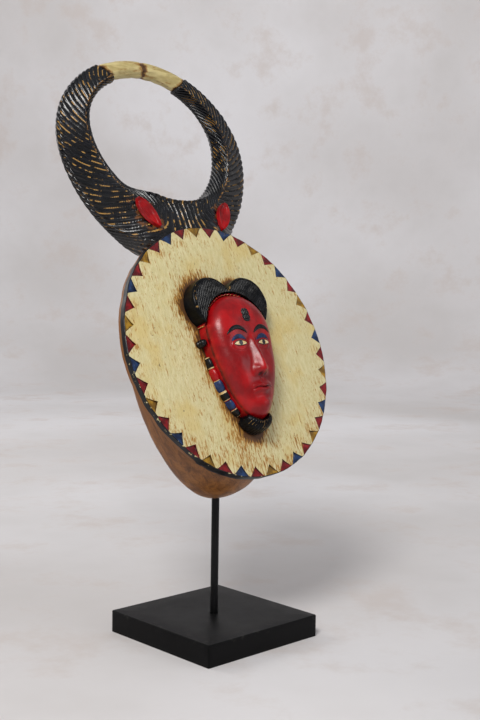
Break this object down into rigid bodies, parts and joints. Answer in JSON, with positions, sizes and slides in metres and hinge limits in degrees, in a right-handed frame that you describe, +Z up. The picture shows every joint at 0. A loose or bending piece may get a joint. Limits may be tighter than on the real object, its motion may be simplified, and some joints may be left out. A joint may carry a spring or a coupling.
{
  "type": "disc mask on a stand",
  "caption": "Painted wooden disc mask with a carved head in relief and a ring of horns, held leaning back on a black rod and square base.",
  "frame": {"origin": "middle of the base board's underside", "axes": "+Z up along the rod, -Y the way the mask faces, +X to the side"},
  "size_m": [0.2648, 0.2131, 0.5972],
  "materials": {
    "painted_base": "MDF board painted satin black",
    "black_rod": "round steel rod, powder-coated satin black",
    "insert_brass": "turned brass",
    "painted_disc": "carved wood, brushed cream paint with ochre stain, black rim, red, blue and yellow notches",
    "stained_wood": "carved wood, brown stain with a satin finish",
    "black_horn": "grooved wood, glossy black paint worn to ochre in the grooves",
    "horn_tip": "carved wood, cream paint with brown stain",
    "red_paint": "carved wood, glossy deep red paint",
    "black_hair": "combed wood, glossy black paint with worn edges",
    "blue_paint": "carved wood, satin dark blue paint",
    "cream_paint": "carved wood, satin cream paint",
    "banded_paint": "carved wood, painted black, blue and red with cream edges"
  },
  "bodies": {
    "stand": {"base_board": "painted_base", "threaded_insert": "insert_brass"},
    "rod": {"rod": "black_rod"},
    "mask": {"disc": "painted_disc", "back_shell": "stained_wood", "rod_socket": "stained_wood", "horn_left": "black_horn", "horn_right": "black_horn", "horn_tip_left": "horn_tip", "horn_tip_right": "horn_tip", "ear_left": "red_paint", "ear_right": "red_paint", "face": "red_paint", "hairline_band": "red_paint", "hair_left": "black_hair", "hair_right": "black_hair", "brow_left": "black_hair", "brow_right": "black_hair", "forehead_mark": "black_hair", "temple_knob_left": "black_hair", "temple_knob_right": "black_hair", "chin_beard": "black_hair", "eyelid_left": "blue_paint", "eyelid_right": "blue_paint", "eye_left": "cream_paint", "eye_right": "cream_paint", "beard_band_left": "banded_paint", "beard_band_right": "banded_paint"}
  },
  "joints": [
    {"name": "rod_turn", "type": "hinge", "parent": "stand", "child": "rod", "pos_m": [0, 0, 0.0225], "axis": [0, 0, 1], "continuous": true},
    {"name": "mask_lift", "type": "slide", "parent": "rod", "child": "mask", "axis": [0, 0, 1], "range_m": [0, 0.056]}
  ]
}
